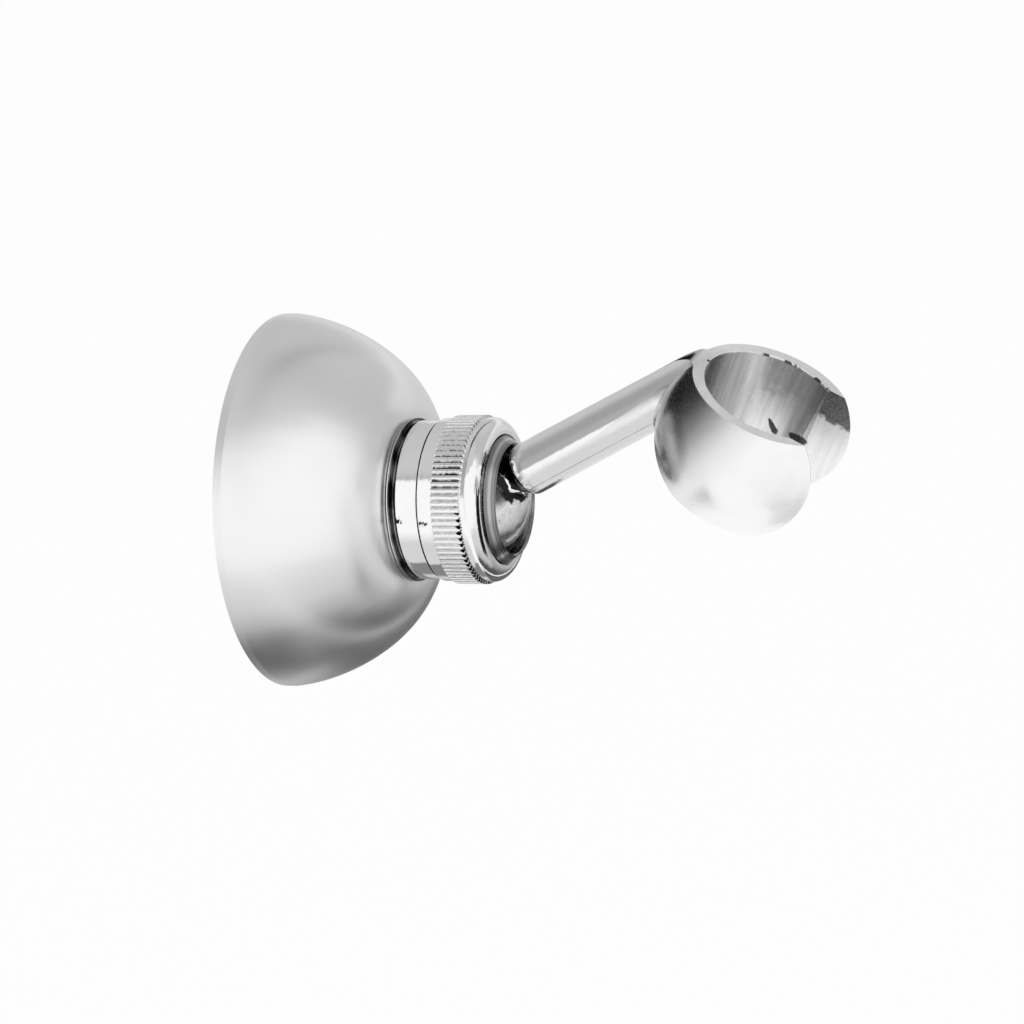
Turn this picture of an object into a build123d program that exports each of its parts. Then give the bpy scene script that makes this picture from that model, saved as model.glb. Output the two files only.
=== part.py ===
from build123d import *
import math
import os

# Hand shower holder in millimetres: a bell flange on the wall, a clamped ball joint and an arm with a cradle.
# The wall is the plane Y = 0, the holder stands out along -Y, and +Z is up.
# The origin is the centre of the flange's rim. A place called out is a distance from the wall along -Y,
# and a place called along is a distance from the ball's centre down the arm.

# Clearances
running_fit = 0.05
thread_fit = 0.10
open_gap = 0.25

# Wall flange, spun from one sheet
flange_radius = 33.0
flange_depth = 23.9
flange_wall = 1.2
rim_land = 1.5
rim_handle = 10.0
rim_slope = 1.3
nose_handle = 8.6
nose_land = 1.1

# Mounting plate behind the flange
plate_radius = 25.0
plate_thickness = 3.0
screw_hole_radius = 2.25
screw_head_radius = 4.2
screw_circle_radius = 17.5
screw_count = 3
boss_radius = 9.0
boss_gap = 0.6
boss_fillet = 1.5

# Ball and stud; the joint's other radii follow the ball's
ball_radius = 10.4
ball_out = 34.34
neck_radius = 3.2
neck_root_radius = 4.63
neck_length = 1.6
stud_radius = 2.5
stud_depth = 9.5

# Joint body: threaded shank, ball cup, base ring, collar and nut thread in one turning
shank_radius = 6.0
shank_start = 4.5
cup_gap = 0.2
cup_floor_space = 3.64
cup_wall = 1.8
cup_floor_thickness = 2.2
base_ring_width = 0.8
base_ring_edge = 0.45
cove_width = 1.05
cove_depth = 0.7
collar_step = 0.4
collar_front_out = 29.3
thread_wall = 2.35
thread_relief = 0.45
body_front_lead = 0.26

# Washer between the base ring and the flange
washer_thickness = 0.8
washer_proud = 0.15
washer_width = 1.1

# Nylon seat behind the ball, and the rubber ring that presses it forward
seat_front_back = 5.84
seat_hole_radius = 3.0
rubber_radius = 0.9
rubber_inset = 3.4
rubber_groove = 0.5

# Front ring that holds the ball in
ring_hold = 0.95
ring_neck_width = 0.7
ring_shoulder_width = 1.25
ring_nose_lead = 8.06
ring_cone_length = 1.7
ring_back_gap = 0.4
ring_edge_round = 0.35

# Knurled ring nut
nut_wall = 1.28
nut_front_step = 0.12
knurl_height = 0.5
knurl_start_out = 32.3
knurl_end_out = 37.35
knurl_count = 80
knurl_groove_width = 0.52
nut_lip_thickness = 1.5
nut_front_out = 40.6
nut_front_round = 2.3
nut_edge_chamfer = 0.25

# Arm
arm_rise = 28.6
arm_spin = -12.8
arm_end_round = 2.0
arm_root_radius = 4.67
arm_tip_radius = 4.33
arm_length = 50.7
stud_hole_relief = 1.0
arm_bend_length = 4.35
arm_end_proud = 0.65
arm_bend_round = 1.5

# Cradle: a ball-shaped body with a tapered bore and a mouth for the hose
cradle_drop = 8.19
cradle_lean = 62.6
cradle_radius = 16.55
cradle_centre_depth = 9.2
cradle_height = 20.1
bore_top_radius = 11.65
bore_bottom_radius = 10.7
mouth_width = 18.96
junction_fillet = 0.7
cradle_edge_round = 0.2

# Cutting tools reach this far past what they cut
cut_over = 1.0

# Radii of the joint, worked out from the ball's
cup_radius = ball_radius + cup_gap
hub_radius = cup_radius + cup_wall
washer_radius = hub_radius + washer_width
base_ring_radius = washer_radius + base_ring_width
nose_radius = base_ring_radius + nose_land
collar_radius = base_ring_radius - collar_step
nut_thread_radius = cup_radius + thread_wall
nut_band_radius = nut_thread_radius + nut_wall
nut_front_band_radius = nut_band_radius + nut_front_step
knurl_radius = nut_band_radius + knurl_height
ring_bore_radius = ball_radius - ring_hold
ring_neck_radius = ball_radius + ring_neck_width
ring_shoulder_radius = ring_neck_radius + ring_shoulder_width
rubber_circle_radius = cup_radius - rubber_inset
socket_radius = ball_radius + running_fit

# Distances from the wall, worked out from the sizes above
cup_floor_out = ball_out - ball_radius - cup_floor_space
hub_back_out = cup_floor_out - cup_floor_thickness
boss_top_out = hub_back_out - boss_gap
base_back_out = flange_depth + washer_proud
collar_back_out = base_back_out + base_ring_edge + cove_width
seat_back_out = cup_floor_out + 2 * rubber_radius - rubber_groove + 2 * running_fit
seat_front_out = ball_out - seat_front_back
body_front_out = ball_out + body_front_lead
nut_back_out = collar_front_out + open_gap
nut_lip_back_out = nut_front_out - nut_lip_thickness
ring_back_out = body_front_out + ring_back_gap
ring_shoulder_out = nut_lip_back_out - running_fit
ring_nose_out = ball_out + ring_nose_lead
ring_cone_out = ring_nose_out - ring_cone_length

# The arm's and the cradle's places and directions
arm_start = ball_radius + neck_length
cradle_along = arm_start + arm_length
rim_radius = math.sqrt(cradle_radius**2 - cradle_centre_depth**2)
wall_out = Vector(0, -1, 0)
rise = math.radians(arm_rise)
lean = math.radians(cradle_lean)
ball_centre = Vector(0, -ball_out, 0)
arm_way = Vector(0, -math.cos(rise), math.sin(rise))
across_way = Vector(0, -math.sin(rise), -math.cos(rise))
bore_way = Vector(0, -math.cos(lean), math.sin(lean))
mouth_way = Vector(0, -math.sin(lean), -math.cos(lean))
cradle_centre = ball_centre + arm_way * cradle_along + across_way * cradle_drop
arm_plane = Plane(origin=ball_centre, x_dir=(1, 0, 0), z_dir=arm_way)
arm_side_plane = Plane(origin=ball_centre, x_dir=arm_way, z_dir=(-1, 0, 0))
cradle_plane = Plane(origin=cradle_centre, x_dir=mouth_way, z_dir=bore_way)
arm_axis = Axis(ball_centre, arm_way)


def at(radius, out):
    """A point of a turned outline: a radius from the holder's axis and a distance from the wall."""
    return (radius, -out)


def turned(*lines):
    """A solid turned about the holder's axis from the lines of its closed outline."""
    edges = [edge for line in lines for edge in line.edges()]
    return revolve(make_face(Wire(edges)), Axis.Y)


def turned_polygon(*points):
    """A solid turned about the holder's axis from an outline of straight lines."""
    return revolve(make_face(Polyline(*points, close=True)), Axis.Y)


def sphere_reach(radius, distance):
    """The radius of the circle that a plane at this distance from the centre cuts from a sphere."""
    return math.sqrt(radius**2 - distance**2)


def bell_line(inset):
    """The bell's curved outline, moved in by the inset for its inner face."""
    rim = flange_radius - inset
    return Bezier(
        at(rim, rim_land),
        at(rim - rim_slope, rim_land + rim_handle),
        at(nose_radius + nose_handle, flange_depth - inset),
        at(nose_radius, flange_depth - inset),
    )


def wall_flange():
    """The bell: an outer and an inner curve, a land at the rim and a hole in its nose for the hub."""
    outer = bell_line(0)
    inner = bell_line(flange_wall)
    hole = hub_radius + thread_fit
    return turned(
        Line(at(flange_radius, 0), outer @ 0),
        outer,
        Line(outer @ 1, at(hole, flange_depth)),
        Line(at(hole, flange_depth), at(hole, flange_depth - flange_wall)),
        Line(at(hole, flange_depth - flange_wall), inner @ 1),
        inner,
        Line(inner @ 0, at(flange_radius - flange_wall, 0)),
        Line(at(flange_radius - flange_wall, 0), at(flange_radius, 0)),
    )


def mounting_plate():
    """The plate that is screwed to the wall, with a threaded boss for the joint body's shank."""
    disc = turned_polygon(at(0, 0), at(plate_radius, 0), at(plate_radius, plate_thickness), at(0, plate_thickness))
    boss = turned_polygon(at(0, 0), at(boss_radius, 0), at(boss_radius, boss_top_out), at(0, boss_top_out))
    body = disc + boss
    body = fillet(new_edges(disc, boss, combined=body), boss_fillet)
    thread = shank_radius + thread_fit
    front = boss_top_out + cut_over
    body -= turned_polygon(at(0, -cut_over), at(thread, -cut_over), at(thread, front), at(0, front))
    face = Plane(origin=(0, -plate_thickness, 0), z_dir=wall_out)
    sink = screw_head_radius - screw_hole_radius
    screw = Cylinder(screw_hole_radius, 2 * (plate_thickness + cut_over))
    screw += Pos(0, 0, -sink / 2) * Cone(screw_hole_radius, screw_head_radius, sink)
    body -= face * PolarLocations(screw_circle_radius, screw_count, start_angle=90) * screw
    return body


def joint_body():
    """One turning: shank, hub that passes the flange's nose, base ring, cove, collar, nut thread and cup."""
    cove_start = base_back_out + base_ring_edge
    recess_out = flange_depth + washer_thickness
    recess_radius = washer_radius + thread_fit
    relief = nut_thread_radius - thread_relief
    chamfer_size = thread_relief
    cove = ThreePointArc(
        at(base_ring_radius, cove_start),
        at(collar_radius - cove_depth, cove_start + cove_width / 2),
        at(collar_radius, collar_back_out),
    )
    rest = Polyline(
        cove @ 0,
        at(base_ring_radius, base_back_out),
        at(recess_radius, base_back_out),
        at(recess_radius, recess_out),
        at(hub_radius, recess_out),
        at(hub_radius, hub_back_out),
        at(shank_radius, hub_back_out),
        at(shank_radius, shank_start + chamfer_size),
        at(shank_radius - chamfer_size, shank_start),
        at(0, shank_start),
        at(0, cup_floor_out),
        at(cup_radius, cup_floor_out),
        at(cup_radius, body_front_out - chamfer_size),
        at(cup_radius + chamfer_size, body_front_out),
        at(nut_thread_radius - chamfer_size, body_front_out),
        at(nut_thread_radius, body_front_out - chamfer_size),
        at(nut_thread_radius, nut_back_out + 2 * thread_relief),
        at(relief, nut_back_out + thread_relief),
        at(relief, collar_front_out),
        at(collar_radius, collar_front_out),
        cove @ 1,
    )
    return turned(rest, cove)


def nose_washer():
    """The flat fibre washer that the flange's nose is clamped through."""
    inner = hub_radius + thread_fit
    back = flange_depth
    front = flange_depth + washer_thickness
    return turned_polygon(at(inner, back), at(washer_radius, back), at(washer_radius, front), at(inner, front))


def ball_cavity(radius):
    """The spherical space that the ball turns in."""
    return Pos(*ball_centre) * Sphere(radius)


def ball_seat():
    """The nylon seat behind the ball, grooved at its back for the rubber ring."""
    outer = cup_radius - thread_fit
    body = turned_polygon(
        at(seat_hole_radius, seat_back_out),
        at(outer, seat_back_out),
        at(outer, seat_front_out),
        at(seat_hole_radius, seat_front_out),
    )
    body -= ball_cavity(socket_radius)
    groove = rubber_radius + running_fit
    groove_floor = seat_back_out + rubber_groove
    body -= turned_polygon(
        at(rubber_circle_radius - groove, seat_back_out - cut_over),
        at(rubber_circle_radius + groove, seat_back_out - cut_over),
        at(rubber_circle_radius + groove, groove_floor),
        at(rubber_circle_radius - groove, groove_floor),
    )
    return body


def friction_ring():
    """The rubber ring on the cup's floor that keeps the joint stiff."""
    out = cup_floor_out + rubber_radius + running_fit
    centre_plane = Plane(origin=(0, -out, 0), z_dir=wall_out)
    return centre_plane * Torus(rubber_circle_radius, rubber_radius)


def front_ring():
    """The ring in front of the ball: a shoulder under the nut's lip and a sloping nose round the arm."""
    nose_radius_out = ring_bore_radius + ring_edge_round
    profile = Polyline(
        at(ring_bore_radius, ring_back_out),
        at(ring_shoulder_radius, ring_back_out),
        at(ring_shoulder_radius, ring_shoulder_out),
        at(ring_neck_radius, ring_shoulder_out),
        at(ring_neck_radius, ring_cone_out),
        at(nose_radius_out, ring_nose_out),
        at(ring_bore_radius, ring_nose_out - ring_edge_round),
        close=True,
    )
    return revolve(make_face(profile), Axis.Y) - ball_cavity(socket_radius)


def knurl_outline():
    """The knurled band's section: straight crests with a narrow V groove between each two."""
    pitch = 2 * math.pi / knurl_count
    half_groove = math.asin(knurl_groove_width / 2 / knurl_radius)
    points = []
    for tooth in range(knurl_count):
        middle = tooth * pitch
        for radius, angle in (
            (nut_band_radius, middle),
            (knurl_radius, middle + half_groove),
            (knurl_radius, middle + pitch - half_groove),
        ):
            points.append((radius * math.cos(angle), radius * math.sin(angle)))
    return Polyline(*points, close=True)


def ring_nut():
    """The ring nut: a plain band, the knurl, a front band with a rounded edge, and a lip over the front ring."""
    bore = nut_thread_radius + thread_fit
    ring_space = ring_shoulder_radius + thread_fit
    lip_radius = ring_neck_radius + thread_fit
    round_start = nut_front_out - nut_front_round
    round_inset = nut_front_round * (1 - math.sqrt(0.5))
    rounding = ThreePointArc(
        at(nut_front_band_radius, round_start),
        at(nut_front_band_radius - round_inset, nut_front_out - round_inset),
        at(nut_front_band_radius - nut_front_round, nut_front_out),
    )
    rest = Polyline(
        rounding @ 1,
        at(lip_radius + nut_edge_chamfer, nut_front_out),
        at(lip_radius, nut_front_out - nut_edge_chamfer),
        at(lip_radius, nut_lip_back_out),
        at(ring_space, nut_lip_back_out),
        at(ring_space, ring_back_out - running_fit),
        at(bore, ring_back_out - 2 * thread_relief),
        at(bore, nut_back_out),
        at(nut_band_radius - nut_edge_chamfer, nut_back_out),
        at(nut_band_radius, nut_back_out + nut_edge_chamfer),
        at(nut_band_radius, knurl_end_out),
        rounding @ 0,
    )
    body = turned(rounding, rest)
    band_plane = Plane(origin=(0, -knurl_start_out, 0), z_dir=wall_out)
    band_width = knurl_end_out - knurl_start_out
    band = extrude(band_plane * make_face(knurl_outline()), band_width)
    band -= band_plane * Pos(0, 0, band_width / 2) * Cylinder(bore + thread_fit, band_width + cut_over)
    return body + band


def ball_stud():
    """The ball, its neck with a hollow fillet, and the threaded stud that holds the arm."""
    blend = (neck_root_radius - neck_radius) * ball_radius / (ball_radius - neck_root_radius)
    blend_along = math.sqrt((ball_radius + blend) ** 2 - (neck_radius + blend) ** 2)
    root_along = sphere_reach(ball_radius, neck_root_radius)
    middle = math.radians(45) + math.atan2(neck_root_radius, root_along) / 2
    ball = ThreePointArc((0, -ball_radius), (ball_radius, 0), (neck_root_radius, root_along))
    hollow = ThreePointArc(
        ball @ 1,
        (neck_radius + blend - blend * math.sin(middle), blend_along - blend * math.cos(middle)),
        (neck_radius, blend_along),
    )
    rest = Polyline(
        hollow @ 1,
        (neck_radius, arm_start),
        (stud_radius, arm_start),
        (stud_radius, arm_start + stud_depth),
        (0, arm_start + stud_depth),
        ball @ 0,
    )
    profile_plane = Plane(origin=ball_centre, x_dir=(1, 0, 0), z_dir=Vector(1, 0, 0).cross(arm_way))
    outline = profile_plane * make_face(Wire([ball, hollow, *rest.edges()]))
    return revolve(outline, arm_axis)


def arm_blank():
    """The tapered arm with its rounded end, long enough to reach into the cradle's wall."""
    arm = Pos(0, 0, arm_start + running_fit + arm_length / 2) * Cone(arm_root_radius, arm_tip_radius, arm_length)
    arm = fillet(arm.edges().filter_by(GeomType.CIRCLE).sort_by(Axis.Z)[0], arm_end_round)
    return arm_plane * arm


def side_point(front, high):
    """A point beside the cradle, from its distances along the mouth and the bore, in the arm's side plane."""
    point = arm_side_plane.to_local_coords(cradle_centre + mouth_way * front + bore_way * high)
    return (point.X, point.Y)


def ground_away(reach):
    """What grinding takes off: all above the cradle's top face, and the arm's end in one curve down to it."""
    slope = (arm_tip_radius - arm_root_radius) / arm_length
    end = side_point(-rim_radius - arm_end_proud, 0)
    bend_along = end[0] - arm_bend_length
    bend = (bend_along, arm_root_radius + slope * (bend_along - arm_start))
    curve = TangentArc(bend, end, tangent=(1, 0))
    rest = Polyline(end, side_point(reach, 0), side_point(reach, reach), (bend_along, reach), bend)
    outline = make_face(Wire([curve, *rest.edges()]))
    corner = outline.vertices().sort_by_distance(Vector(*end, 0))[0]
    return extrude(arm_side_plane * fillet(corner, arm_bend_round), amount=reach, both=True)


def polished_edges(body):
    """The bore's upper edge and the edges of the bottom face, which polishing has broken."""
    flats = body.faces().filter_by(lambda f: f.is_planar and abs(f.normal_at().dot(bore_way)) > 0.999)
    bottom, top = flats.sort_by(Axis(cradle_centre, bore_way))
    bore_edge = top.edges().filter_by(GeomType.CIRCLE).sort_by(SortBy.LENGTH)[-1]
    return [bore_edge, *bottom.edges()]


def arm_cradle():
    """Arm and cradle, cast in one: the arm runs into the ball-shaped body and is ground down to its top face."""
    reach = 2 * (cradle_radius + cradle_centre_depth)
    below = Pos(0, 0, -cradle_height - reach / 2) * Box(reach, reach, reach)
    bore = Pos(0, 0, -cradle_height / 2) * Cone(bore_bottom_radius, bore_top_radius, cradle_height)
    mouth = Pos(reach / 2, 0, -cradle_height / 2) * Box(reach, mouth_width, reach)
    arm = arm_blank()
    body = cradle_plane * (Pos(0, 0, -cradle_centre_depth) * Sphere(cradle_radius) - below)
    joined = arm + body
    seam = new_edges(arm, body, combined=joined)
    joined = fillet(seam, junction_fillet)
    joined -= ground_away(reach)
    joined -= cradle_plane * (bore + mouth)
    joined = fillet(polished_edges(joined), cradle_edge_round)
    stud_hole = stud_radius + running_fit
    hole_depth = stud_depth + stud_hole_relief
    joined -= arm_plane * Pos(0, 0, arm_start + hole_depth / 2) * Cylinder(stud_hole, hole_depth)
    return joined


def as_mounted(shape):
    """A piece of the arm, spun about the arm as the holder stands."""
    return shape.rotate(arm_axis, arm_spin)


nodes = {
    "wall_flange": wall_flange(),
    "mounting_plate": mounting_plate(),
    "joint_body": joint_body(),
    "nose_washer": nose_washer(),
    "friction_ring": friction_ring(),
    "ball_seat": ball_seat(),
    "front_ring": front_ring(),
    "ring_nut": ring_nut(),
    "ball_stud": ball_stud(),
    "arm_cradle": as_mounted(arm_cradle()),
}

os.makedirs("parts", exist_ok=True)
for name, shape in nodes.items():
    export_step(shape, f"parts/{name}.step")
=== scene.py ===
import math
import bpy
from mathutils import Matrix, Vector

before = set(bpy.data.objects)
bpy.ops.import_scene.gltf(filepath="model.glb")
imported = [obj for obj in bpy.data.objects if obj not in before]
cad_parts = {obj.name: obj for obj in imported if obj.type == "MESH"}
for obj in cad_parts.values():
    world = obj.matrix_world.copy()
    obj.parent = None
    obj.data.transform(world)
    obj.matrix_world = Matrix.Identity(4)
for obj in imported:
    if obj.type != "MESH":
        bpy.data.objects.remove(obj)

bl_info = {
    "name": "Hand shower holder",
    "version": (1, 0, 0),
    "blender": (4, 5, 0),
    "location": "View3D > Sidebar > Holder",
    "description": "Finishes, casting detail and a studio stage for a wall holder of a hand shower",
    "category": "Object",
}

MM = 0.001

# Centres and directions of the holder. The bore's way runs up, the mouth's way runs out through the mouth,
# and the jaw's way runs across it.
BALL_CENTRE = Vector((0, -34.34, 0)) * MM
ARM_WAY = Vector((0, -0.877983, 0.478692))
CRADLE_CENTRE = Vector((-1.814, -93.213, 23.002)) * MM
BORE_WAY = Vector((0.1239, -0.4669, 0.8756)).normalized()
MOUTH_WAY = Vector((-0.1837, -0.8780, -0.4421)).normalized()
JAW_WAY = BORE_WAY.cross(MOUTH_WAY).normalized()
BALL_SHAPE_CENTRE = CRADLE_CENTRE - 9.2 * MM * BORE_WAY
BALL_SHAPE_RADIUS = 16.55 * MM
JOINT_MIDDLE = Vector((0, -35, 0)) * MM

# The way from the middle of the cradle's ball shape to the dark patch that faces the joint, a painted
# reflection of the joint.
BALL_REFLECTION_WAY = Vector((-0.617, 0.702, 0.353)).normalized()

# Soft borders of the cradle's finishes: the value where a finish starts and the value where it is full.
BORE_BORDER = (11.80 * MM, 11.74 * MM)
BORE_FOOT = (-20.15 * MM, -20.10 * MM)
JAW_BORDER = (9.52 * MM, 9.50 * MM)
MOUTH_START = (6.6 * MM, 7.0 * MM)
RIM_BORDER = (-0.30 * MM, -0.05 * MM)
BALL_BORDER = (16.80 * MM, 16.62 * MM)
BURR_BORDER = (11.92 * MM, 11.80 * MM)
BURR_TOP = (-0.4 * MM, -0.3 * MM)
BALL_REFLECTION_BORDER = (0.92, 0.985)

# The joint's bands, from and to, as distances out from the wall, and the knurl.
COVE = (24.26 * MM, 25.48 * MM)
KNURL_BAND = (32.32 * MM, 37.38 * MM)
KNURL_FOOT = (14.0 * MM, 14.1 * MM)
KNURL_COUNT = 80
KNURL_RADIUS = 14.5 * MM

# The casting's marks in the bore and on the rim, and the grime specks on the collar and the nut, with their
# middles and sizes in mm and how ragged they are.
CAST_MARKS = (
    ((7.71, -88.41, 11.07), 0.24),
    ((7.63, -88.5, 10.74), 0.32),
    ((7.55, -88.6, 10.4), 0.4),
    ((7.46, -88.7, 10.1), 0.46),
    ((7.38, -88.79, 9.8), 0.52),
    ((7.28, -88.93, 9.48), 0.56),
    ((7.18, -89.07, 9.16), 0.6),
    ((6.11, -92.25, 8.86), 0.55),
    ((5.7, -93.0, 8.75), 0.68),
    ((5.23, -93.65, 8.66), 0.74),
    ((4.8, -94.2, 8.6), 0.74),
    ((4.32, -94.7, 8.48), 0.66),
    ((0.52, -82.68, 28.29), 0.3),
)
CAST_MARK_RAG = 0.12
GRIME = (
    ((-13.0, -25.9, 5.0), 0.45),
    ((-13.2, -30.2, 4.72), 0.42),
    ((-13.2, -31.0, 4.66), 0.36),
    ((-13.8, -33.3, 4.4), 0.35),
)
GRIME_RAG = 0.7

# The camera that shows the holder as it was photographed.
CAMERA_PLACE = (-0.48026, -0.26646, 0.35911)
CAMERA_AZIMUTH = math.radians(-64.867)
CAMERA_ELEVATION = math.radians(34.297)
CAMERA_ROLL = math.radians(-14.768)
SENSOR_WIDTH_MM = 36
CLIP_START = 10 * MM

# The floor, the share of plain white that it shows to the camera, and the lamp, in metres.
FLOOR_REACH = 4.0
FLOOR_WHITE = 0.94
LAMP_SIZE = (1.2, 0.9)
LAMP_DISTANCE = 1.1
LAMP_AZIMUTH = math.radians(-80)
LAMP_ELEVATION = math.radians(30)

# A dome's grid, its layers with the places of their values in what a tone gives, the soft border of its run
# window, the reach of the cradle's own window, and a run that no reflection has.
DOME_COLUMNS = 180
DOME_ROWS = 90
DOME_LAYERS = (("tones", (0, 1)), ("lengths", (2, 3)), ("shunned", (4, 4)))
RUN_BLUR = 0.75 * MM
CRADLE_RUN_REACH = 3.4 * MM
FAR = 10.0


def view_axes(azimuth, elevation, roll=0.0):
    """Right, up and back directions of a viewer who looks at the holder from an azimuth and an elevation."""
    flat = math.cos(elevation)
    back = Vector((math.sin(azimuth) * flat, -math.cos(azimuth) * flat, math.sin(elevation)))
    level = Vector((math.cos(azimuth), math.sin(azimuth), 0))
    above = back.cross(level)
    right = level * math.cos(roll) + above * math.sin(roll)
    return right, back.cross(right), back


KEY_WAYS = view_axes(CAMERA_AZIMUTH, CAMERA_ELEVATION, CAMERA_ROLL)


def axes_matrix(right, up, back, place):
    """The matrix of an object whose local X, Y and Z are these directions."""
    turn = Matrix((right, up, back)).transposed().to_4x4()
    return Matrix.Translation(place) @ turn


class Shading:
    """A short way to write a material's nodes and links."""

    def __init__(self, name, tree=None):
        self.material = None
        if tree is None:
            self.material = bpy.data.materials.new(name)
            self.material.use_nodes = True
            tree = self.material.node_tree
        self.tree = tree
        self.tree.nodes.clear()

    def node(self, kind, *inputs, out=0, **settings):
        """Adds a node and returns an output. An input is a number, a colour or another node's output."""
        made = self.tree.nodes.new(kind)
        for key, value in settings.items():
            setattr(made, key, value)
        for index, value in enumerate(inputs):
            if value is None:
                continue
            if isinstance(value, bpy.types.NodeSocket):
                self.tree.links.new(value, made.inputs[index])
            else:
                made.inputs[index].default_value = value
        return made.outputs[out]

    def named(self, kind, out, settings=None, **inputs):
        """Adds a node whose inputs are given by name, with _ for a space, and returns the named output."""
        made = self.tree.nodes.new(kind)
        for key, value in (settings or {}).items():
            setattr(made, key, value)
        for key, value in inputs.items():
            socket = made.inputs[key.replace("_", " ")]
            if isinstance(value, bpy.types.NodeSocket):
                self.tree.links.new(value, socket)
            else:
                socket.default_value = value
        return made.outputs[out]

    def math(self, operation, a, b=0.0, clamp=False):
        """One step of arithmetic."""
        return self.node("ShaderNodeMath", a, b, operation=operation, use_clamp=clamp)

    def place(self):
        """The point of the surface, in the holder's own frame."""
        return self.node("ShaderNodeTexCoord", out="Object")

    def vector(self, operation, a, b=None, out=0):
        """One step of arithmetic on vectors."""
        return self.node("ShaderNodeVectorMath", a, b, operation=operation, out=out)

    def along(self, point, way):
        """Distance from a point along a direction, in metres."""
        offset = self.vector("SUBTRACT", self.place(), tuple(point))
        return self.vector("DOT_PRODUCT", offset, tuple(way), out="Value")

    def from_axis(self, point, way):
        """Distance from an axis, in metres."""
        offset = self.vector("SUBTRACT", self.place(), tuple(point))
        return self.vector("LENGTH", self.vector("CROSS_PRODUCT", offset, tuple(way)), out="Value")

    def out(self):
        """Distance out from the wall, in metres."""
        return self.along((0, 0, 0), (0, -1, 0))

    def up(self):
        """Height over the flange's axis, in metres."""
        return self.along((0, 0, 0), (0, 0, 1))

    def radius(self):
        """Distance from the flange's axis, in metres."""
        return self.from_axis((0, 0, 0), (0, 1, 0))

    def between(self, value, low, high, soft):
        """1 between two values and 0 outside them, with soft borders."""
        return self.math("MULTIPLY", self.ramp(value, low - soft, low), self.ramp(value, high + soft, high))

    def round_angle(self, point, zero_way, side_way):
        """Angle round an axis through a point, in degrees, from a direction toward its side direction."""
        turn = self.math("ARCTAN2", self.along(point, side_way), self.along(point, zero_way))
        return self.math("MULTIPLY", turn, 180 / math.pi)

    def all_of(self, *shares):
        """The product of some shares."""
        product = shares[0]
        for share in shares[1:]:
            product = self.math("MULTIPLY", product, share)
        return product

    def mark(self, point, size, rag=0.5):
        """A ragged speck round a point of the surface: 1 inside and 0 outside."""
        offset = self.vector("SUBTRACT", self.place(), tuple(Vector(point) * MM))
        away = self.vector("LENGTH", offset, out="Value")
        rough = self.ramp(self.noise(size * 0.9, 3.0, 0.6), 0.3, 0.7, 1 - rag, 1 + rag)
        return self.ramp(self.math("DIVIDE", away, rough), size * 1.3, size * 0.8)

    def ramp(self, value, low, high, to_low=0.0, to_high=1.0):
        """A smooth change from one number to another while the value goes from low to high."""
        return self.named("ShaderNodeMapRange", "Result", {"interpolation_type": "SMOOTHSTEP"}, Value=value,
                          From_Min=low, From_Max=high, To_Min=to_low, To_Max=to_high)

    def noise(self, size, detail=3.0, roughness=0.5, stretch=None, coordinates=None):
        """Noise between 0 and 1 whose features are about this size in metres."""
        coordinates = coordinates or self.place()
        if stretch:
            coordinates = self.vector("MULTIPLY", coordinates, stretch)
        return self.named("ShaderNodeTexNoise", "Fac", Vector=coordinates, Scale=1 / size, Detail=detail,
                          Roughness=roughness)

    def rings(self, path, per_metre, detail):
        """Noise along one length, which runs round a turned piece as fine lines."""
        return self.named("ShaderNodeTexNoise", "Fac", {"noise_dimensions": "1D"}, W=path, Scale=per_metre,
                          Detail=detail)

    def spots(self, size, reach):
        """Round spots: 1 at their middles and 0 past a share of their spacing."""
        near = self.named("ShaderNodeTexVoronoi", "Distance", Vector=self.place(), Scale=1 / size)
        return self.ramp(near, reach, 0.0)

    def tone(self, level):
        """The grey colour of a level."""
        return self.node("ShaderNodeCombineColor", level, level, level)

    def blend(self, share, a, b):
        """Mixes two colours or numbers by a share from 0 to 1."""
        mixer = self.tree.nodes.new("ShaderNodeMix")
        colour = not isinstance(a, float) and (isinstance(a, tuple) or a.type == "RGBA")
        mixer.data_type = "RGBA" if colour else "FLOAT"
        first, second = (6, 7) if colour else (2, 3)
        for index, value in ((0, share), (first, a), (second, b)):
            if isinstance(value, bpy.types.NodeSocket):
                self.tree.links.new(value, mixer.inputs[index])
            else:
                mixer.inputs[index].default_value = value
        return mixer.outputs[2 if colour else 0]

    def bump(self, height, depth, under=None):
        """A normal from a height between 0 and 1, with the depth in metres."""
        normal = self.named("ShaderNodeBump", "Normal", Height=height, Strength=1.0, Distance=depth)
        if under is not None:
            self.tree.links.new(under, normal.node.inputs["Normal"])
        return normal

    def seen(self):
        """1 for rays from the camera, off gloss and through glass, and 0 for all others."""
        rays = self.node("ShaderNodeLightPath").node.outputs
        share = self.math("MAXIMUM", rays["Is Camera Ray"], rays["Is Glossy Ray"])
        return self.math("MAXIMUM", share, rays["Is Transmission Ray"])

    def end(self, shader, kind="ShaderNodeOutputMaterial"):
        """Ends the tree in this shader."""
        self.tree.links.new(shader, self.tree.nodes.new(kind).inputs[0])

    def surface(self, colour, roughness, normal=None, metallic=0.0):
        """Ends the material in one principled shader, whose constant values sit on its own sockets."""
        shader = self.tree.nodes.new("ShaderNodeBsdfPrincipled")
        shader.inputs["Metallic"].default_value = metallic
        for key, value in (("Base Color", colour), ("Roughness", roughness), ("Normal", normal)):
            if isinstance(value, bpy.types.NodeSocket):
                self.tree.links.new(value, shader.inputs[key])
            elif value is not None:
                shader.inputs[key].default_value = value
        self.end(shader.outputs[0])
        return self.material


def grey(level, warm=0.0):
    """A grey colour, a touch warmer or cooler."""
    return (level * (1 + warm), level, level * (1 - warm), 1.0)


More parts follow.
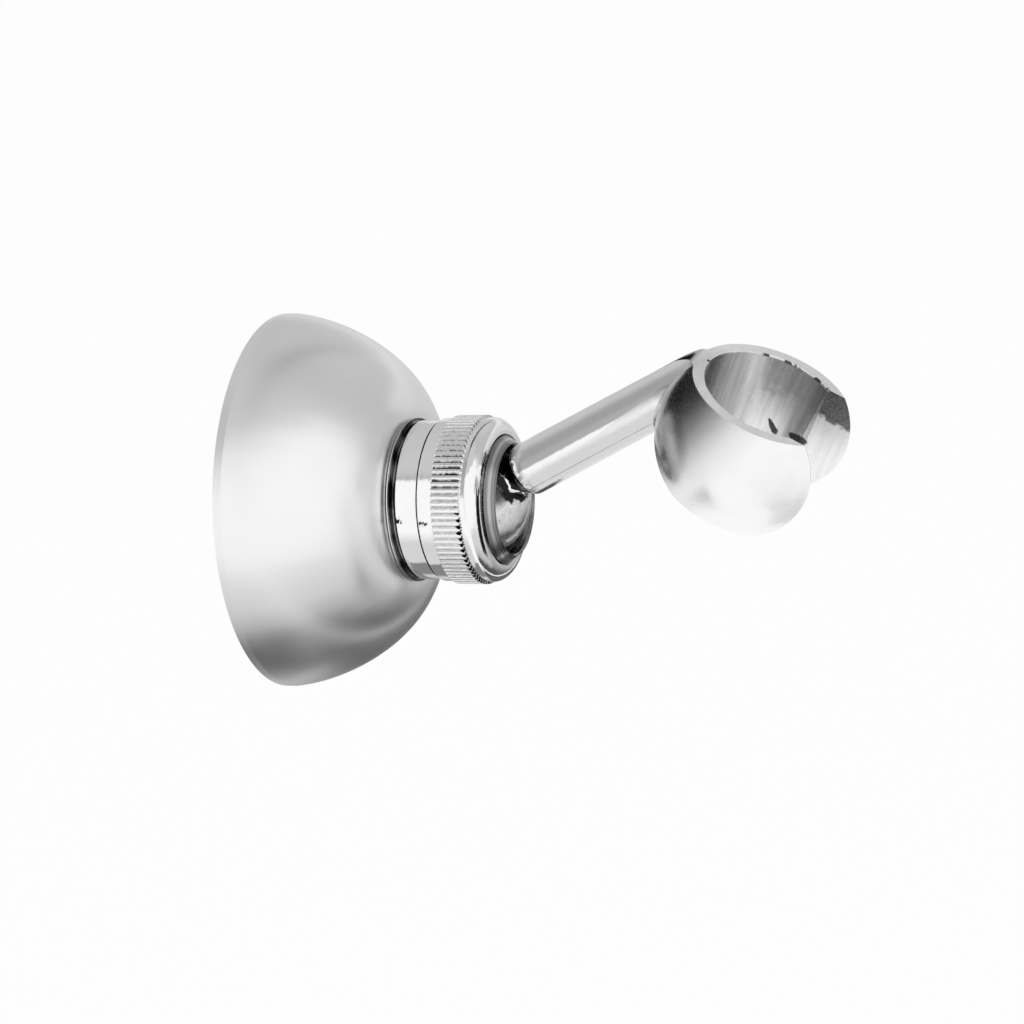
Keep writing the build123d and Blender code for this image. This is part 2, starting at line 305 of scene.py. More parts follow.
def dress(node, material):
    """Gives a node of the frame its material."""
    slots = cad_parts[node].material_slots
    if not slots:
        raise RuntimeError(f"node {node} has no material slot")
    for slot in slots:
        slot.material = material


class HolderStageSettings(bpy.types.PropertyGroup):
    camera_place: bpy.props.FloatVectorProperty(
        name="Camera place", description="Where the camera stands",
        size=3, subtype="TRANSLATION", unit="LENGTH", default=CAMERA_PLACE)
    camera_azimuth: bpy.props.FloatProperty(
        name="Camera azimuth", description="Turn of the view about Z, 0 looks along Y",
        subtype="ANGLE", unit="ROTATION", default=CAMERA_AZIMUTH)
    camera_elevation: bpy.props.FloatProperty(
        name="Camera elevation", description="Height angle of the view",
        subtype="ANGLE", unit="ROTATION", default=CAMERA_ELEVATION)
    camera_roll: bpy.props.FloatProperty(
        name="Camera roll", description="Roll of the view",
        subtype="ANGLE", unit="ROTATION", default=CAMERA_ROLL)
    camera_lens: bpy.props.FloatProperty(
        name="Lens", description="Focal length on a 36 mm sensor", unit="CAMERA", default=129.75)
    floor_drop: bpy.props.FloatProperty(
        name="Floor drop", description="Height of the holder's axis over the floor",
        unit="LENGTH", default=0.30)
    floor_colour: bpy.props.FloatVectorProperty(
        name="Floor colour", description="Colour of the pale floor",
        size=3, subtype="COLOR", min=0, max=1, default=(0.9, 0.9, 0.9))
    fill_level: bpy.props.FloatProperty(
        name="Fill level", description="Strength of the even light from all round", min=0, default=0.75)
    lamp_level: bpy.props.FloatProperty(
        name="Lamp level", description="Power of the soft lamp in watts", min=0, default=4.0)


class HolderFinishSettings(bpy.types.PropertyGroup):
    satin_colour: bpy.props.FloatVectorProperty(
        name="Satin colour", description="Colour of the satin chrome flange",
        size=3, subtype="COLOR", min=0, max=1, default=(0.93, 0.93, 0.93))
    satin_roughness: bpy.props.FloatProperty(
        name="Satin roughness", description="Roughness of the satin chrome flange",
        min=0, max=1, default=0.30)
    chrome_colour: bpy.props.FloatVectorProperty(
        name="Chrome colour", description="Colour of the polished chrome",
        size=3, subtype="COLOR", min=0, max=1, default=(0.94, 0.94, 0.94))
    chrome_roughness: bpy.props.FloatProperty(
        name="Chrome roughness", description="Roughness of the polished chrome",
        min=0, max=1, default=0.06)
    ripple: bpy.props.FloatProperty(
        name="Ripple", description="Depth of the waviness that hand polishing leaves",
        min=0, unit="LENGTH", precision=7, default=0.020 * MM)


class HolderSettings(bpy.types.PropertyGroup):
    stage: bpy.props.PointerProperty(type=HolderStageSettings)
    finish: bpy.props.PointerProperty(type=HolderFinishSettings)


class HOLDER_OT_camera(bpy.types.Operator):
    """Place the camera at the product picture's viewing angle"""
    bl_idname = "holder.camera"
    bl_label = "Camera"

    def execute(self, context):
        stage = context.scene.holder.stage
        data = bpy.data.cameras.new("holder_camera")
        data.lens = stage.camera_lens
        data.sensor_width = SENSOR_WIDTH_MM
        data.sensor_fit = "HORIZONTAL"
        data.clip_start = CLIP_START
        camera = bpy.data.objects.new("holder_camera", data)
        context.scene.collection.objects.link(camera)
        right, up, back = view_axes(stage.camera_azimuth, stage.camera_elevation, stage.camera_roll)
        camera.matrix_world = axes_matrix(right, up, back, Vector(stage.camera_place))
        context.scene.camera = camera
        return {"FINISHED"}


def only_for_reflections(card):
    """Keeps a studio card out of the camera's view, the shadows and the even light."""
    card.visible_camera = False
    card.visible_diffuse = False
    card.visible_shadow = False
    card.visible_transmission = False
    card.visible_volume_scatter = False


def step(value, low, high):
    """A smooth step from 0 at low to 1 at high, either way round."""
    share = min(max((value - low) / (high - low), 0.0), 1.0)
    return share * share * (3 - 2 * share)


def dome_material(name, distance):
    """Light for reflections whose run lies in the dome's window, with values from the dome's layers."""
    s = Shading(name)
    values = []
    for layer_name, _ in DOME_LAYERS:
        spread = s.node("ShaderNodeSeparateXYZ", s.node("ShaderNodeUVMap", uv_map=layer_name)).node
        values += spread.outputs[:2]
    level, share, low, high, shunned = values[:5]
    run = s.math("SUBTRACT", s.node("ShaderNodeLightPath").node.outputs["Ray Length"], distance)
    after = s.ramp(s.math("SUBTRACT", run, low), -RUN_BLUR, RUN_BLUR)
    before = s.ramp(s.math("SUBTRACT", high, run), -RUN_BLUR, RUN_BLUR)
    apart = s.math("ABSOLUTE", s.math("SUBTRACT", run, shunned))
    away = s.ramp(apart, 2 * RUN_BLUR, 4 * RUN_BLUR)
    light = s.node("ShaderNodeEmission", s.tone(level), 1.0)
    clear = s.node("ShaderNodeBsdfTransparent")
    s.end(s.node("ShaderNodeMixShader", s.all_of(share, after, before, away), clear, light))
    return s.material


def dome(name, middle, distance, tone):
    """A studio dome round a middle point, for reflections alone.

    Its tone gives five values for each direction: how light it is, how dense it is, and three lengths in
    metres. A reflection's run is the length that it travels to the dome, less the dome's radius. It is
    shorter where the reflection starts further along its own way. Only reflections whose run lies between
    the first two lengths and away from the third can see the dome.
    """
    points = []
    tones = []
    for row in range(DOME_ROWS + 1):
        elevation = -90 + 180 * row / DOME_ROWS
        for column in range(DOME_COLUMNS + 1):
            azimuth = 360 * column / DOME_COLUMNS
            ahead = view_axes(math.radians(azimuth), math.radians(elevation))[2]
            points.append(middle + ahead * distance)
            tones.append(tone(azimuth, elevation, ahead))
    faces = []
    for row in range(DOME_ROWS):
        for column in range(DOME_COLUMNS):
            first = row * (DOME_COLUMNS + 1) + column
            above = first + DOME_COLUMNS + 1
            corners_of_face = (first, first + 1, above + 1, above)
            if any(tones[index][1] > 0 for index in corners_of_face):
                faces.append(corners_of_face)
    mesh = bpy.data.meshes.new(name)
    mesh.from_pydata(points, [], faces)
    for layer_name, places in DOME_LAYERS:
        layer = mesh.uv_layers.new(name=layer_name)
        for loop in mesh.loops:
            layer.data[loop.index].uv = [tones[loop.vertex_index][place] for place in places]
    mesh.materials.append(dome_material(name, distance))
    card = bpy.data.objects.new(name, mesh)
    only_for_reflections(card)
    bpy.context.scene.collection.objects.link(card)


def ball_run(ahead, middle):
    """The run of a reflection off the cradle's ball shape in this direction, to a dome round this middle."""
    half = (ahead + KEY_WAYS[2]).normalized()
    return -(BALL_SHAPE_CENTRE - middle).dot(ahead) - BALL_SHAPE_RADIUS * half.dot(KEY_WAYS[2])


def grey_room(azimuth, elevation, ahead):
    """The unlit side of the studio behind the wall, with a straight border at its left, and its ceiling."""
    level = 0.53 + 0.05 * step(azimuth, 100, 130) - 0.21 * step(azimuth, 138, 178)
    level += 0.07 * step(azimuth, 195, 215)
    level += 0.07 * step(abs(azimuth - 79), 30, 8) * step(abs(elevation - 25), 25, 8)
    level += (0.60 - level) * step(elevation, 55, 66)
    wall = step(azimuth, 2, 30) * step(azimuth, 228, 225) * step(elevation, -56, -30)
    raised = 12 * step(azimuth, 235, 255) * step(azimuth, 360, 340)
    ceiling = step(elevation, 56 + raised, 64 + raised)
    return level, max(wall, ceiling), -FAR, FAR, FAR


def dim_back(azimuth, elevation, ahead):
    """The soft fall from the bright front to the dark back that the round of the cradle alone shows."""
    right, up, back = KEY_WAYS
    half = (ahead + back).normalized()
    across = half.dot(right - up) / math.sqrt(2)
    level = 0.008 + 0.90 * step(across, -0.90, -0.06) ** 1.8
    run = ball_run(ahead, BALL_SHAPE_CENTRE)
    return level, step(across, 0.06, -0.06), run - CRADLE_RUN_REACH, run + CRADLE_RUN_REACH, FAR


def pale_floor(azimuth, elevation, ahead):
    """The floor's own grey, which the collar and the nut show low down."""
    share = step(elevation, -8, -30) * step(azimuth, 50, 75) * step(azimuth, 355, 335)
    return 0.69 - 0.09 * step(azimuth, 200, 120), share, -FAR, -26 * MM, FAR


def dark_under(azimuth, elevation, ahead):
    """The shade under the collar and the nut."""
    sideways = step(azimuth, 140, 165) * step(azimuth, 282, 266)
    straight_down = step(elevation, -78, -84)
    share = step(elevation, -57, -60) * max(sideways, straight_down)
    return 0.24, share, -FAR, 0.0, ball_run(ahead, JOINT_MIDDLE)


def flange_shade(azimuth, elevation, ahead):
    """The fall to dark that the flange alone shows low down."""
    level = 0.93
    turned = azimuth if azimuth > 180 else azimuth + 360
    lifted = elevation + 7.0 * step(turned, 312, 340) * step(turned, 400, 380)
    for drop, high, low in ((0.24, 0, -18), (0.14, -28, -40), (0.46, -40, -54)):
        level -= drop * step(lifted, high, low)
    darker = step(elevation, -28, -48) * step(turned, 390, 425) * step(turned, 485, 455)
    level -= (level - 0.14) * darker
    share = step(turned, 190, 205) * step(turned, 500, 470) * step(elevation, 0, -8)
    limit = -19.5 * MM + 38.5 * MM * step(turned, 268, 350) - 10 * MM * step(turned, 385, 402)
    return level, share, -FAR, limit, ball_run(ahead, JOINT_MIDDLE)


def dark_front(azimuth, elevation, ahead):
    """A dark flag in front, which the nut's front edge shows."""
    turned = azimuth if azimuth < 180 else azimuth - 360
    share = step(turned, -26, -18) * step(turned, 36, 26)
    share *= step(elevation, -45, -38) * step(elevation, 14, 6)
    return 0.01, share, -5.3 * MM, 7.5 * MM, FAR


class HOLDER_OT_stage(bpy.types.Operator):
    """Set up the pale floor, the white surround, the soft lamp and the grey and dark domes"""
    bl_idname = "holder.stage"
    bl_label = "Stage"

    def execute(self, context):
        stage = context.scene.holder.stage
        world = bpy.data.worlds.new("studio")
        context.scene.world = world
        world.use_nodes = True
        s = Shading("studio", world.node_tree)
        fill = s.node("ShaderNodeBackground", grey(1.0), stage.fill_level)
        white = s.node("ShaderNodeBackground", grey(1.0), 1.0)
        s.end(s.node("ShaderNodeMixShader", s.seen(), fill, white), "ShaderNodeOutputWorld")
        self.floor(context, stage)
        self.lamp(context, stage)
        self.domes()
        return {"FINISHED"}

    def floor(self, context, stage):
        """The pale floor, which keeps the holder's shadow."""
        mesh = bpy.data.meshes.new("studio_floor")
        points = []
        for x, y in ((-1, -1), (1, -1), (1, 1), (-1, 1)):
            points.append((x * FLOOR_REACH, y * FLOOR_REACH, -stage.floor_drop))
        mesh.from_pydata(points, [], [(0, 1, 2, 3)])
        floor = bpy.data.objects.new("studio_floor", mesh)
        context.scene.collection.objects.link(floor)
        s = Shading("studio_floor")
        cloud = s.ramp(s.noise(0.4, 2.0), 0.3, 0.7, 0.0, 0.03)
        lit = s.node("ShaderNodeBsdfDiffuse", s.blend(cloud, (*stage.floor_colour, 1.0), grey(0.8)))
        white = s.node("ShaderNodeEmission", grey(1.0), 1.0)
        s.end(s.node("ShaderNodeMixShader", s.math("MULTIPLY", s.seen(), FLOOR_WHITE), lit, white))
        mesh.materials.append(s.material)
        floor.visible_glossy = False

    def lamp(self, context, stage):
        """One large soft lamp at the viewer's left."""
        data = bpy.data.lights.new("soft_lamp", "AREA")
        data.shape = "RECTANGLE"
        data.size, data.size_y = LAMP_SIZE
        data.energy = stage.lamp_level
        lamp = bpy.data.objects.new("soft_lamp", data)
        context.scene.collection.objects.link(lamp)
        right, up, back = view_axes(LAMP_AZIMUTH, LAMP_ELEVATION)
        lamp.matrix_world = axes_matrix(right, up, back, back * LAMP_DISTANCE)
        lamp.visible_glossy = False

    def domes(self):
        """The domes, from the outermost in, each with its radius in metres."""
        dome("grey_room", JOINT_MIDDLE, 1.8, grey_room)
        dome("pale_floor", BALL_SHAPE_CENTRE, 1.3, pale_floor)
        dome("dim_back", BALL_SHAPE_CENTRE, 1.2, dim_back)
        dome("dark_under", JOINT_MIDDLE, 1.1, dark_under)
        dome("flange_shade", JOINT_MIDDLE, 1.0, flange_shade)
        dome("dark_front", JOINT_MIDDLE, 0.9, dark_front)


def spun_satin(colour, roughness):
    """Satin chrome on a spun sheet: faint rings from the lathe and a cloudy sheen."""
    s = Shading("satin_chrome_spun")
    lines = s.rings(s.math("SUBTRACT", s.radius(), s.out()), 4500.0, 4.0)
    cloud = s.noise(0.012, 3.0)
    grain = s.noise(0.0002, 2.0)
    tint = s.blend(s.ramp(cloud, 0.35, 0.75, 0.0, 0.25), (*colour, 1.0), grey(colour[0] * 0.93))
    cloudy = s.ramp(cloud, 0.3, 0.7, roughness - 0.02, roughness + 0.03)
    polish = s.math("ADD", cloudy, s.ramp(lines, 0.3, 0.7, 0.0, 0.03))
    normal = s.bump(lines, 0.0012 * MM, s.bump(grain, 0.0008 * MM))
    return s.surface(tint, polish, normal, metallic=1.0)


def bore_streaks(s):
    """Coordinates that are squeezed along the bore, so that noise runs as streaks down its wall."""
    offset = s.vector("SUBTRACT", s.place(), tuple(CRADLE_CENTRE))
    parts = []
    for way, stretch in ((JAW_WAY, 1.0), (MOUTH_WAY, 1.0), (BORE_WAY, 0.06)):
        along = s.vector("DOT_PRODUCT", offset, tuple(way), out="Value")
        parts.append(s.math("MULTIPLY", along, stretch))
    return s.node("ShaderNodeCombineXYZ", *parts)


def arm_tint(s, bright):
    """The arm's colour: a painted grey reflection on one side, a thin dark line along its underside, and a
    painted dark reflection by the neck.
    """
    side_way = ARM_WAY.cross(Vector((1, 0, 0)))
    down_from_left = s.round_angle(BALL_CENTRE, (-1, 0, 0), tuple(-side_way))
    along = s.along(BALL_CENTRE, ARM_WAY)
    wander = s.ramp(s.noise(0.003, 3.0), 0.2, 0.8, -1.5, 1.5)
    angle = s.math("ADD", down_from_left, wander)
    # A grey band on one side of the arm, painted as a reflection.
    tint = s.blend(s.ramp(angle, -21.0, -3.0), bright, grey(0.66))
    tint = s.blend(s.ramp(angle, 60.0, 75.0), tint, bright)
    line = s.all_of(s.between(down_from_left, 19.4, 20.4, 0.8), s.ramp(s.noise(0.004, 3.0), 0.25, 0.55))
    tint = s.blend(line, tint, grey(0.28))
    # A painted dark reflection near the neck, ragged at its edge.
    painted_dark_reflection = s.all_of(s.ramp(s.noise(0.0014, 4.0, 0.6), 0.43, 0.50), s.ramp(along, 0.0162, 0.0134))
    return s.blend(painted_dark_reflection, tint, grey(0.16))


def bore_tint(s, high, streaks):
    """The bore's colour, with reflections painted in: darker high up toward the mouth, lighter low down and
    toward the arm.
    """
    angle = s.round_angle(CRADLE_CENTRE, MOUTH_WAY, JAW_WAY)
    wander = s.ramp(s.noise(0.0025, 4.0, 0.6), 0.25, 0.75, -1.0, 1.0)
    # Painted reflections, set by the angle round the bore and by its height, with cast streaks over them.
    level = s.ramp(s.math("ADD", angle, s.math("MULTIPLY", wander, 4.0)), 104.0, 124.0, 0.60, 0.72)
    fall = s.math("MULTIPLY", s.ramp(angle, 136.0, 172.0, 1.0, 0.16), s.ramp(angle, 75.0, 56.0, 1.0, 0.75))
    level = s.math("MULTIPLY", level, fall)
    depth = s.math("ADD", high, s.math("MULTIPLY", wander, 0.0012))
    low = s.all_of(s.ramp(depth, -0.0048, -0.0072), s.ramp(angle, 118.0, 106.0))
    level = s.blend(low, level, s.ramp(angle, 95.0, 60.0, 0.85, 0.60))
    level = s.math("MULTIPLY", level, s.ramp(streaks, 0.25, 0.75, 0.82, 1.15))
    return s.tone(level)


def jaw_tint(s, high, streaks):
    """The mouth's faces: dark near the top, partly scratches and partly a painted dark reflection, and
    bright under that.
    """
    wander = s.ramp(s.noise(0.002, 4.0, 0.6), 0.25, 0.75, -0.0006, 0.0006)
    # Near the top of the jaws: scratch-like mottling and a painted dark reflection.
    scratches_and_painted_dark = s.ramp(s.noise(0.0003, 4.0, 0.6), 0.3, 0.7, 0.12, 0.28)
    light = s.blend(s.ramp(streaks, 0.3, 0.7), grey(0.88), grey(0.97))
    return s.blend(s.ramp(s.math("ADD", high, wander), -0.0050, -0.0058), s.tone(scratches_and_painted_dark), light)


def cast_marks(s):
    """The casting's dark marks: 1 inside them and 0 outside."""
    share = None
    for point, size in CAST_MARKS:
        mark = s.mark(point, size * MM, CAST_MARK_RAG)
        share = mark if share is None else s.math("MAXIMUM", share, mark)
    return share


def cradle_chrome(colour, roughness, ripple):
    """The arm and cradle in one: polished arm, satin ball, linished rim, bore and jaws as cast, and painted
    reflections.
    """
    s = Shading("polished_chrome_cradle")
    high = s.along(CRADLE_CENTRE, BORE_WAY)
    radial = s.from_axis(CRADLE_CENTRE, BORE_WAY)
    side = s.math("ABSOLUTE", s.along(CRADLE_CENTRE, JAW_WAY))
    front = s.along(CRADLE_CENTRE, MOUTH_WAY)
    in_bore = s.all_of(s.ramp(radial, *BORE_BORDER), s.ramp(high, *BORE_FOOT))
    in_mouth = s.all_of(s.ramp(side, *JAW_BORDER), s.ramp(front, *MOUTH_START))
    cast = s.math("MAXIMUM", in_bore, in_mouth, clamp=True)
    skin = s.math("SUBTRACT", 1.0, cast)
    rim = s.all_of(s.ramp(high, *RIM_BORDER), skin)
    round_skin = s.all_of(skin, s.math("SUBTRACT", 1.0, rim))
    offset = s.vector("SUBTRACT", s.place(), tuple(BALL_SHAPE_CENTRE))
    on_ball = s.ramp(s.vector("LENGTH", offset, out="Value"), *BALL_BORDER)
    ball = s.all_of(on_ball, round_skin)
    arm = s.all_of(s.math("SUBTRACT", 1.0, on_ball), round_skin)

    haze = s.ramp(s.noise(0.004, 4.0), 0.4, 0.8)
    bright = s.blend(s.math("MULTIPLY", haze, 0.3), (*colour, 1.0), grey(colour[0] * 0.9, 0.01))
    tint = s.blend(arm, bright, arm_tint(s, bright))
    # A painted reflection of the joint: the ball shape is painted darker on its side that faces the joint.
    toward = s.math("DIVIDE", s.along(BALL_SHAPE_CENTRE, BALL_REFLECTION_WAY), BALL_SHAPE_RADIUS)
    tint = s.blend(s.all_of(ball, s.ramp(toward, *BALL_REFLECTION_BORDER)), tint, grey(0.50))
    tint = s.blend(rim, tint, s.blend(s.ramp(s.noise(0.0015, 4.0), 0.3, 0.7), grey(0.93), grey(0.99)))
    streaks = s.noise(0.0009, 3.0, 0.5, coordinates=bore_streaks(s))
    inner = s.blend(in_mouth, bore_tint(s, high, streaks), jaw_tint(s, high, streaks))
    tint = s.blend(cast, tint, inner)
    marks = s.all_of(cast_marks(s), s.math("MAXIMUM", cast, rim), s.ramp(high, 1.0 * MM, -0.1 * MM))
    tint = s.blend(marks, tint, grey(0.07))
    angle = s.round_angle(CRADLE_CENTRE, MOUTH_WAY, JAW_WAY)
    lip = s.math("ADD", radial, s.ramp(s.noise(0.0018, 2.0), 0.3, 0.7, -0.14 * MM, 0.12 * MM))
    burr = s.all_of(s.ramp(lip, *BURR_BORDER), s.ramp(high, *BURR_TOP), s.between(angle, 55.0, 118.0, 4.0))
    # The burr's bright patches are bright metal, and its dark patches are painted shade under the rim's
    # edge.
    burr_metal_and_painted_shade = s.blend(s.ramp(s.noise(0.0012, 2.0), 0.42, 0.5), grey(0.10), grey(0.99))
    tint = s.blend(burr, tint, burr_metal_and_painted_shade)

    mottle = s.noise(0.0006, 4.0, 0.6)
    polish = s.blend(rim, s.ramp(haze, 0.0, 1.0, roughness, roughness + 0.04), 0.45)
    polish = s.blend(ball, polish, s.ramp(haze, 0.0, 1.0, 0.24, 0.28))
    polish = s.blend(cast, polish, s.ramp(mottle, 0.3, 0.7, 0.27, 0.32))
    height = s.all_of(cast, s.blend(in_mouth, s.math("MULTIPLY", streaks, 0.4), mottle))
    normal = s.bump(height, 0.004 * MM, s.bump(s.noise(0.002, 2.0, 0.45), ripple))
    return s.surface(tint, polish, normal, metallic=1.0)


def turned_chrome(name, colour, roughness, ripple):
    """The start of a turning's finish: bright plating, the lathe's ripple and a few grime specks."""
    s = Shading(name)
    haze = s.ramp(s.noise(0.004, 4.0), 0.4, 0.8)
    tint = s.blend(s.math("MULTIPLY", haze, 0.3), (*colour, 1.0), grey(colour[0] * 0.92, 0.01))
    for point, size in GRIME:
        tint = s.blend(s.mark(point, size * MM, GRIME_RAG), tint, grey(0.02))
    polish = s.ramp(haze, 0.0, 1.0, roughness, roughness + 0.04)
    return s, tint, polish, s.bump(s.noise(0.001, 3.0, 0.5), ripple)


def body_chrome(colour, roughness, ripple):
    """The joint body: a bright collar, and the cove behind it painted dark as shade and dark reflection."""
    s, tint, polish, normal = turned_chrome("polished_chrome_body", colour, roughness, ripple)
    cove = s.between(s.out(), *COVE, 0.1 * MM)
    # The cove is painted dark with a ragged tone: painted shade and a painted dark reflection in the recess.
    painted_dark_reflection = s.ramp(s.noise(0.006, 3.0), 0.4, 0.6, 0.03, 0.30)
    tint = s.blend(cove, tint, s.tone(painted_dark_reflection))
    return s.surface(tint, s.blend(cove, polish, 0.2), normal, metallic=1.0)


def knurled_chrome(colour, roughness, ripple):
    """The ring nut: polished bands, a knurl with rounded crests, and painted shade in the grooves."""
    s, tint, polish, normal = turned_chrome("polished_chrome_nut", colour, roughness, ripple)
    out = s.out()
    up = s.up()
    turn = s.math("ARCTAN2", s.along((0, 0, 0), (1, 0, 0)), s.along((0, 0, 0), (0, 0, -1)))
    teeth = s.math("MULTIPLY", turn, KNURL_COUNT / math.tau)
    part = s.math("FRACT", s.math("ADD", teeth, KNURL_COUNT + 0.5))
    pitch = math.tau / KNURL_COUNT * KNURL_RADIUS
    across = s.math("MULTIPLY", s.math("ABSOLUTE", s.math("SUBTRACT", part, 0.5)), pitch)
    worn = s.ramp(s.noise(0.0007, 3.0), 0.3, 0.7, -0.06 * MM, 0.06 * MM)
    across = s.math("ADD", across, worn)
    band = s.all_of(s.between(out, *KNURL_BAND, 0.06 * MM), s.ramp(s.radius(), *KNURL_FOOT))
    crest = s.ramp(across, 0.03 * MM, 0.12 * MM)
    low_down = s.ramp(up, 9 * MM, 4 * MM)
    # Painted shadows at the front ends of the grooves, widening toward the end and only low down on the nut.
    wedge = s.math("MULTIPLY", s.ramp(out, 36.5 * MM, 37.4 * MM, 0.14 * MM, 0.46 * MM), low_down)
    in_wedge = s.ramp(s.math("SUBTRACT", across, wedge), 0.0, -0.1 * MM)
    groove_end_shadow = s.all_of(s.ramp(out, 36.4 * MM, 36.6 * MM), in_wedge)
    # Painted shade in the grooves, darker high up than low down.
    groove_shade = s.blend(s.ramp(up, 9 * MM, 11.5 * MM), grey(0.80), grey(0.10))
    rows = s.blend(crest, groove_shade, (*colour, 1.0))
    rows = s.blend(groove_end_shadow, rows, grey(0.01))
    tint = s.blend(band, tint, rows)
    polish = s.blend(band, polish, 0.25)
    normal = s.bump(s.all_of(band, s.ramp(across, 0.1 * MM, 0.55 * MM)), 0.1 * MM, normal)
    return s.surface(tint, polish, normal, metallic=1.0)


def ball_chrome(colour, roughness, ripple):
    """The ball and its neck: dull plating with specks, painted shade at its top, and painted reflections at
    the neck.
    """
    s = Shading("polished_chrome_ball")
    along = s.along(BALL_CENTRE, ARM_WAY)
    cloud = s.noise(0.0012, 4.0, 0.6)
    dull = s.blend(s.ramp(cloud, 0.35, 0.65), grey(0.74), grey(0.93))
    specks = s.all_of(s.spots(0.0012, 0.20), s.ramp(s.noise(0.004, 2.0), 0.5, 0.6))
    dull = s.blend(specks, dull, grey(0.10))
    # Painted shade toward the top of the ball.
    shade = s.ramp(s.math("ADD", s.up(), s.math("MULTIPLY", cloud, 0.003)), 0.0035, 0.0060)
    dull = s.blend(shade, dull, grey(0.12))
    # Painted reflections at the neck: dark from where it leaves the ball, with one bright ring across it.
    level = s.math("ADD", along, s.ramp(s.noise(0.002, 3.0), 0.3, 0.7, -0.0003, 0.0003))
    dull = s.blend(s.ramp(level, 0.00925, 0.00945), dull, grey(0.02))
    dull = s.blend(s.between(level, 0.01035, 0.01075, 0.0001), dull, (*colour, 1.0))
    polish = s.ramp(cloud, 0.3, 0.7, 0.16, 0.28)
    polish = s.blend(s.ramp(along, 0.0092, 0.0095), polish, roughness)
    return s.surface(dull, polish, s.bump(s.noise(0.0016, 2.0), ripple), metallic=1.0)


def grey_ring_chrome():
    """Thin plating on the front ring: dark, with paler lines round it, a painted highlight and painted shade
    at its edge.
    """
    s = Shading("grey_chrome_ring")
    radius = s.radius()
    sway = s.math("MULTIPLY", s.noise(0.006, 3.0), 0.0006)
    lines = s.rings(s.math("ADD", s.math("SUBTRACT", radius, s.out()), sway), 2200.0, 3.0)
    tint = s.blend(s.ramp(lines, 0.35, 0.65), grey(0.17), grey(0.33))
    # A painted highlight: a pale stripe round the ring.
    tint = s.blend(s.between(radius, 0.0104, 0.0106, 0.00012), tint, grey(0.5))
    # Painted shade in the gap to the nut: the outer edge is near black.
    tint = s.blend(s.ramp(radius, 0.01105, 0.01115), tint, grey(0.02))
    return s.surface(tint, s.ramp(lines, 0.3, 0.7, 0.16, 0.26), s.bump(lines, 0.000006), metallic=1.0)


def zinc_steel():
    """Zinc-plated steel with the spangle and the dull streaks of barrel plating."""
    s = Shading("zinc_steel_plate")
    spangle = s.named("ShaderNodeTexVoronoi", "Color", Vector=s.place(), Scale=700.0)
    streak = s.noise(0.003, 4.0, stretch=(1.0, 1.0, 0.3))
    tint = s.blend(s.ramp(streak, 0.3, 0.7), grey(0.55, -0.02), grey(0.68, -0.01))
    tint = s.blend(s.ramp(s.node("ShaderNodeRGBToBW", spangle), 0.2, 0.8, 0.0, 0.2), tint, grey(0.78))
    normal = s.bump(s.noise(0.0004, 3.0), 0.01 * MM)
    return s.surface(tint, s.ramp(streak, 0.3, 0.7, 0.32, 0.48), normal, metallic=1.0)


def nylon():
    """Milky moulded nylon with fine flow marks."""
    s = Shading("white_nylon_seat")
    flow = s.noise(0.002, 3.0, stretch=(1.0, 0.3, 1.0))
    tint = s.blend(flow, (0.86, 0.85, 0.81, 1.0), (0.9, 0.89, 0.87, 1.0))
    return s.surface(tint, s.ramp(flow, 0.3, 0.7, 0.35, 0.5), s.bump(s.noise(0.0003, 2.0), 0.000006))


def fibre():
    """Pressed red fibre with a felted grain."""
    s = Shading("fibre_washer")
    felt = s.noise(0.0003, 5.0, 0.7)
    tint = s.blend(s.ramp(felt, 0.3, 0.7), (0.33, 0.10, 0.07, 1.0), (0.52, 0.20, 0.14, 1.0))
    return s.surface(tint, s.ramp(felt, 0.3, 0.7, 0.7, 0.9), s.bump(felt, 0.00002))


def rubber():
    """Black rubber with a faint bloom."""
    s = Shading("black_rubber_ring")
    bloom = s.noise(0.001, 4.0)
    tint = s.blend(s.ramp(bloom, 0.4, 0.8), grey(0.02), grey(0.06))
    return s.surface(tint, s.ramp(bloom, 0.3, 0.7, 0.45, 0.65), s.bump(s.noise(0.0003, 2.0), 0.000008))


class HOLDER_OT_flange_finish(bpy.types.Operator):
    """Finish the bell flange in satin chrome"""
    bl_idname = "holder.flange_finish"
    bl_label = "Flange finish"

    def execute(self, context):
        finish = context.scene.holder.finish
        dress("wall_flange", spun_satin(tuple(finish.satin_colour), finish.satin_roughness))
        return {"FINISHED"}


class HOLDER_OT_joint_finish(bpy.types.Operator):
    """Finish the joint body, ring nut, front ring and ball in plated metal"""
    bl_idname = "holder.joint_finish"
    bl_label = "Joint finish"

    def execute(self, context):
        finish = context.scene.holder.finish
        settings = (tuple(finish.chrome_colour), finish.chrome_roughness, finish.ripple)
        dress("joint_body", body_chrome(*settings))
        dress("ring_nut", knurled_chrome(*settings))
        dress("ball_stud", ball_chrome(*settings))
        dress("front_ring", grey_ring_chrome())
        return {"FINISHED"}


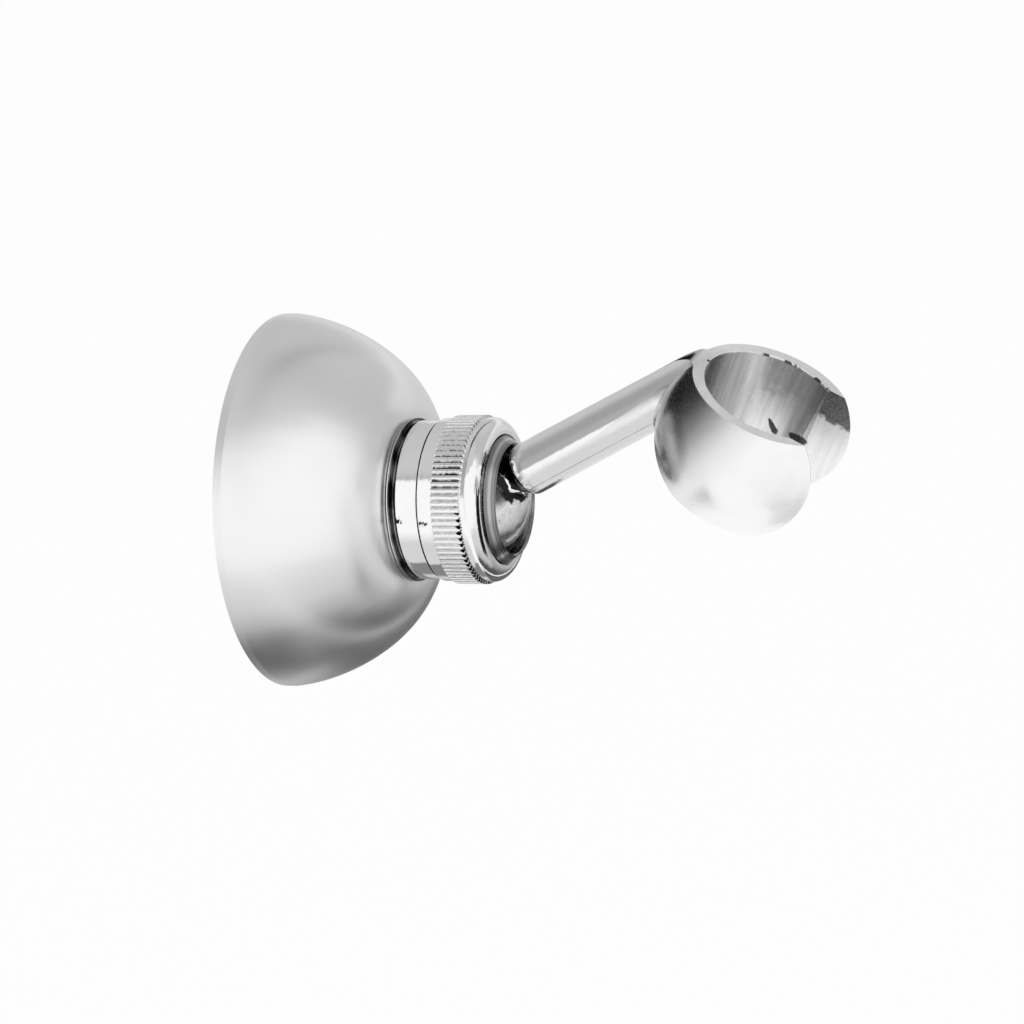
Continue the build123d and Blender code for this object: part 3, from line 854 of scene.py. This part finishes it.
class HOLDER_OT_cradle_finish(bpy.types.Operator):
    """Finish the arm and cradle: polished outside and as cast inside"""
    bl_idname = "holder.cradle_finish"
    bl_label = "Cradle finish"

    def execute(self, context):
        finish = context.scene.holder.finish
        settings = (tuple(finish.chrome_colour), finish.chrome_roughness, finish.ripple)
        dress("arm_cradle", cradle_chrome(*settings))
        return {"FINISHED"}


class HOLDER_OT_hidden_finish(bpy.types.Operator):
    """Finish the plate, washer, seat and rubber ring that the flange and the nut hide"""
    bl_idname = "holder.hidden_finish"
    bl_label = "Hidden parts finish"

    def execute(self, context):
        dress("mounting_plate", zinc_steel())
        dress("nose_washer", fibre())
        dress("ball_seat", nylon())
        dress("friction_ring", rubber())
        return {"FINISHED"}


class HOLDER_PT_panel(bpy.types.Panel):
    """The holder's settings and the buttons that build each part of it"""
    bl_idname = "HOLDER_PT_panel"
    bl_label = "Hand shower holder"
    bl_space_type = "VIEW_3D"
    bl_region_type = "UI"
    bl_category = "Holder"

    def draw(self, context):
        settings = context.scene.holder
        for group in (settings.stage, settings.finish):
            box = self.layout.box()
            for key in group.__annotations__:
                box.prop(group, key)
        for kind in OPERATORS:
            self.layout.operator(kind.bl_idname)


OPERATORS = (
    HOLDER_OT_camera,
    HOLDER_OT_stage,
    HOLDER_OT_flange_finish,
    HOLDER_OT_joint_finish,
    HOLDER_OT_cradle_finish,
    HOLDER_OT_hidden_finish,
)
CLASSES = (HolderStageSettings, HolderFinishSettings, HolderSettings, *OPERATORS, HOLDER_PT_panel)


def register():
    """Adds the settings, the operators and the panel."""
    for kind in CLASSES:
        bpy.utils.register_class(kind)
    bpy.types.Scene.holder = bpy.props.PointerProperty(type=HolderSettings)


def unregister():
    """Takes them away again."""
    del bpy.types.Scene.holder
    for kind in reversed(CLASSES):
        bpy.utils.unregister_class(kind)


def main():
    """Builds the whole scene."""
    register()
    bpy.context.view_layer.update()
    bpy.context.scene.view_settings.view_transform = "Standard"
    bpy.ops.holder.camera()
    bpy.ops.holder.stage()
    bpy.ops.holder.flange_finish()
    bpy.ops.holder.joint_finish()
    bpy.ops.holder.cradle_finish()
    bpy.ops.holder.hidden_finish()


if __name__ == "__main__":
    main()
